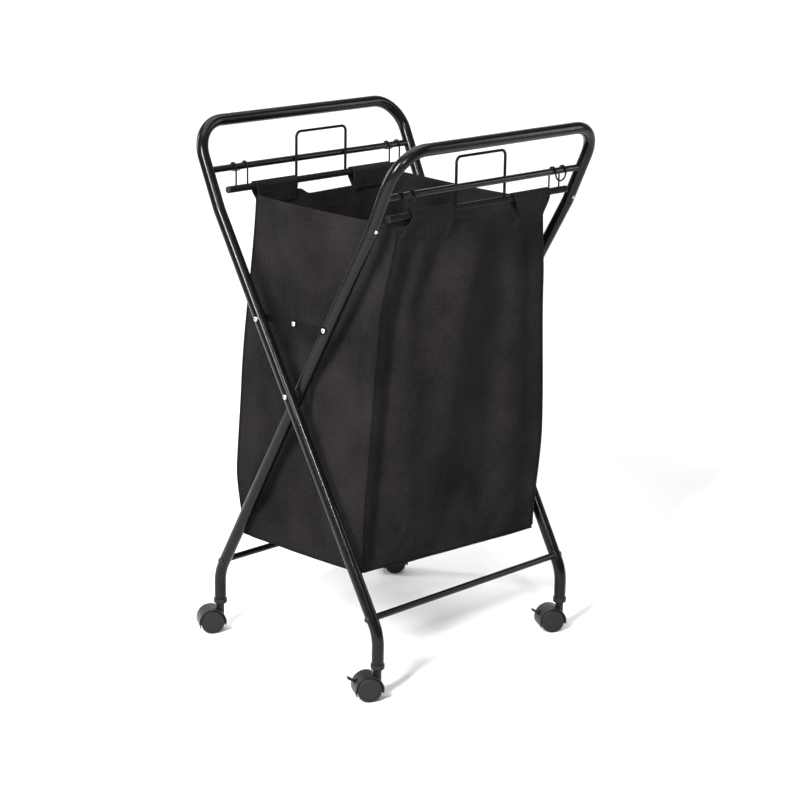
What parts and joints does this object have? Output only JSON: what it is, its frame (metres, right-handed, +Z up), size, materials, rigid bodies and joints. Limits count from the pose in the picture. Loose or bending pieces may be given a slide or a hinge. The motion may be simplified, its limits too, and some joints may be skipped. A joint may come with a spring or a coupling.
{
  "type": "laundry cart",
  "caption": "Folding laundry cart: crossed black tube frames with handles, flat braces and twin-wheel casters, carrying a deep open fabric bag on lift-off wire hangers.",
  "frame": {"origin": "on the floor, under the middle of the cart's box; the fold pivot's axis passes 11.5 mm towards +X and 3.2 mm towards -Y of it", "axes": "+X along the two handles, +Y towards the rear handle, +Z up"},
  "size_m": [0.512, 0.4444, 0.8445],
  "materials": {
    "black_tube": "gloss black powder coat on round steel tube",
    "black_wire": "gloss black coat on steel wire and rod",
    "black_flat_bar": "satin black coat on flat steel bar",
    "black_bolt": "satin black domed bolt heads",
    "zinc_steel": "bright zinc plate",
    "black_plastic": "moulded, fine grain",
    "caster_plastic": "moulded nylon, low sheen",
    "wheel_plastic": "hard moulded wheel, low sheen",
    "bag_fabric": "woven polyester, matte"
  },
  "bodies": {
    "pivot": {"pivot_rivets": "zinc_steel", "pivot_spacers": "black_plastic"},
    "rear_handle_frame": {"rear_handle": "black_tube", "front_left_leg": "black_tube", "front_right_leg": "black_tube", "rear_hanging_bar": "black_tube", "front_stretcher": "black_tube", "front_stretcher_bolts": "black_bolt", "rear_handle_screws": "zinc_steel", "front_leg_sockets": "black_plastic", "rear_frame_brace_rivets": "zinc_steel"},
    "front_handle_frame": {"front_handle": "black_tube", "rear_left_leg": "black_tube", "rear_right_leg": "black_tube", "front_hanging_bar": "black_tube", "rear_stretcher": "black_tube", "rear_stretcher_bolts": "black_bolt", "front_handle_screws": "zinc_steel", "rear_leg_sockets": "black_plastic", "front_frame_brace_rivets": "zinc_steel"},
    "left_rear_brace_link": {"left_rear_link": "black_flat_bar", "left_brace_middle_rivet": "zinc_steel"},
    "left_front_brace_link": {"left_front_link": "black_flat_bar"},
    "right_rear_brace_link": {"right_rear_link": "black_flat_bar"},
    "right_front_brace_link": {"right_front_link": "black_flat_bar", "right_brace_middle_rivet": "zinc_steel"},
    "rear_hanger": {"rear_hanger_rod": "black_wire", "rear_hanger_caps": "black_plastic", "rear_hanger_hooks": "black_wire", "rear_hanger_grip": "black_wire", "rear_bag_loops": "bag_fabric"},
    "front_hanger": {"front_hanger_rod": "black_wire", "front_hanger_caps": "black_plastic", "front_hanger_hooks": "black_wire", "front_hanger_grip": "black_wire", "front_bag_loops": "bag_fabric"},
    "bag": {"bag": "bag_fabric"},
    "front_left_caster": {"front_left_caster_hood": "caster_plastic", "front_left_caster_stem": "zinc_steel", "front_left_caster_axle": "zinc_steel"},
    "front_left_wheel_near": {"front_left_wheel_near": "wheel_plastic"},
    "front_left_wheel_far": {"front_left_wheel_far": "wheel_plastic"},
    "front_left_brake": {"front_left_brake_lever": "caster_plastic"},
    "front_right_caster": {"front_right_caster_hood": "caster_plastic", "front_right_caster_stem": "zinc_steel", "front_right_caster_axle": "zinc_steel"},
    "front_right_wheel_near": {"front_right_wheel_near": "wheel_plastic"},
    "front_right_wheel_far": {"front_right_wheel_far": "wheel_plastic"},
    "front_right_brake": {"front_right_brake_lever": "caster_plastic"},
    "rear_left_caster": {"rear_left_caster_hood": "caster_plastic", "rear_left_caster_stem": "zinc_steel", "rear_left_caster_axle": "zinc_steel"},
    "rear_left_wheel_near": {"rear_left_wheel_near": "wheel_plastic"},
    "rear_left_wheel_far": {"rear_left_wheel_far": "wheel_plastic"},
    "rear_right_caster": {"rear_right_caster_hood": "caster_plastic", "rear_right_caster_stem": "zinc_steel", "rear_right_caster_axle": "zinc_steel"},
    "rear_right_wheel_near": {"rear_right_wheel_near": "wheel_plastic"},
    "rear_right_wheel_far": {"rear_right_wheel_far": "wheel_plastic"}
  },
  "joints": [
    {"name": "rear_frame_fold", "type": "hinge", "parent": "pivot", "child": "rear_handle_frame", "pos_m": [0.01146, -0.0032, 0.43917], "axis": [1, 0, 0], "range_deg": [0, 18.34], "deforming": ["bag"]},
    {"name": "front_frame_fold", "type": "hinge", "parent": "pivot", "child": "front_handle_frame", "pos_m": [0.01146, -0.0032, 0.43917], "axis": [-1, 0, 0], "range_deg": [0, 18.35]},
    {"name": "left_rear_link_turn", "type": "hinge", "parent": "rear_handle_frame", "child": "left_rear_brace_link", "pos_m": [-0.21034, 0.06014, 0.551], "axis": [1, 0, 0], "range_deg": [0, 48.48]},
    {"name": "left_front_link_turn", "type": "hinge", "parent": "front_handle_frame", "child": "left_front_brace_link", "pos_m": [-0.20914, -0.06655, 0.551], "axis": [-1, 0, 0], "range_deg": [0, 48.48]},
    {"name": "right_rear_link_turn", "type": "hinge", "parent": "rear_handle_frame", "child": "right_rear_brace_link", "pos_m": [0.23206, 0.06014, 0.551], "axis": [1, 0, 0], "range_deg": [0, 48.48]},
    {"name": "right_front_link_turn", "type": "hinge", "parent": "front_handle_frame", "child": "right_front_brace_link", "pos_m": [0.23326, -0.06655, 0.551], "axis": [-1, 0, 0], "range_deg": [0, 48.48]},
    {"name": "rear_hanger_swing", "type": "hinge", "parent": "rear_handle_frame", "child": "rear_hanger", "pos_m": [0.01146, 0.17473, 0.765], "axis": [-1, 0, 0], "range_deg": [0, 18.35]},
    {"name": "front_hanger_swing", "type": "hinge", "parent": "front_handle_frame", "child": "front_hanger", "pos_m": [0.01746, -0.18113, 0.765], "axis": [1, 0, 0], "range_deg": [0, 18.35]},
    {"name": "bag_rise", "type": "slide", "parent": "pivot", "child": "bag", "axis": [0, 0, 1], "range_m": [0, 0.03946]},
    {"name": "front_left_swivel", "type": "hinge", "parent": "rear_handle_frame", "child": "front_left_caster", "pos_m": [-0.21354, -0.1942, 0.05], "axis": [0, 0, 1], "continuous": true},
    {"name": "front_left_near_roll", "type": "hinge", "parent": "front_left_caster", "child": "front_left_wheel_near", "pos_m": [-0.22622, -0.18619, 0.019], "axis": [0.5344, 0.8453, 0], "continuous": true},
    {"name": "front_left_far_roll", "type": "hinge", "parent": "front_left_caster", "child": "front_left_wheel_far", "pos_m": [-0.22622, -0.18619, 0.019], "axis": [0.5344, 0.8453, 0], "continuous": true},
    {"name": "front_left_brake_press", "type": "hinge", "parent": "front_left_caster", "child": "front_left_brake", "pos_m": [-0.23793, -0.17878, 0.027], "axis": [-0.5344, -0.8453, 0], "range_deg": [0, 12]},
    {"name": "front_right_swivel", "type": "hinge", "parent": "rear_handle_frame", "child": "front_right_caster", "pos_m": [0.21446, -0.1942, 0.05], "axis": [0, 0, 1], "continuous": true},
    {"name": "front_right_near_roll", "type": "hinge", "parent": "front_right_caster", "child": "front_right_wheel_near", "pos_m": [0.20178, -0.18619, 0.019], "axis": [0.5344, 0.8453, 0], "continuous": true},
    {"name": "front_right_far_roll", "type": "hinge", "parent": "front_right_caster", "child": "front_right_wheel_far", "pos_m": [0.20178, -0.18619, 0.019], "axis": [0.5344, 0.8453, 0], "continuous": true},
    {"name": "front_right_brake_press", "type": "hinge", "parent": "front_right_caster", "child": "front_right_brake", "pos_m": [0.19007, -0.17878, 0.027], "axis": [-0.5344, -0.8453, 0], "range_deg": [0, 12]},
    {"name": "rear_left_swivel", "type": "hinge", "parent": "front_handle_frame", "child": "rear_left_caster", "pos_m": [-0.19154, 0.1878, 0.05], "axis": [0, 0, 1], "continuous": true},
    {"name": "rear_left_near_roll", "type": "hinge", "parent": "rear_left_caster", "child": "rear_left_wheel_near", "pos_m": [-0.20422, 0.19581, 0.019], "axis": [0.5344, 0.8453, 0], "continuous": true},
    {"name": "rear_left_far_roll", "type": "hinge", "parent": "rear_left_caster", "child": "rear_left_wheel_far", "pos_m": [-0.20422, 0.19581, 0.019], "axis": [0.5344, 0.8453, 0], "continuous": true},
    {"name": "rear_right_swivel", "type": "hinge", "parent": "front_handle_frame", "child": "rear_right_caster", "pos_m": [0.23646, 0.1878, 0.05], "axis": [0, 0, 1], "continuous": true},
    {"name": "rear_right_near_roll", "type": "hinge", "parent": "rear_right_caster", "child": "rear_right_wheel_near", "pos_m": [0.22378, 0.19581, 0.019], "axis": [0.5344, 0.8453, 0], "continuous": true},
    {"name": "rear_right_far_roll", "type": "hinge", "parent": "rear_right_caster", "child": "rear_right_wheel_far", "pos_m": [0.22378, 0.19581, 0.019], "axis": [0.5344, 0.8453, 0], "continuous": true}
  ],
  "couplings": [
    {"joint": "front_frame_fold", "follows": "rear_frame_fold", "ratio": 1},
    {"joint": "left_rear_link_turn", "follows": "rear_frame_fold", "ratio": 2.643},
    {"joint": "left_front_link_turn", "follows": "rear_frame_fold", "ratio": 2.643},
    {"joint": "right_rear_link_turn", "follows": "rear_frame_fold", "ratio": 2.643},
    {"joint": "right_front_link_turn", "follows": "rear_frame_fold", "ratio": 2.643},
    {"joint": "rear_hanger_swing", "follows": "rear_frame_fold", "ratio": 1},
    {"joint": "front_hanger_swing", "follows": "rear_frame_fold", "ratio": 1},
    {"joint": "bag_rise", "follows": "rear_frame_fold", "m_per_rad": 0.1232}
  ]
}
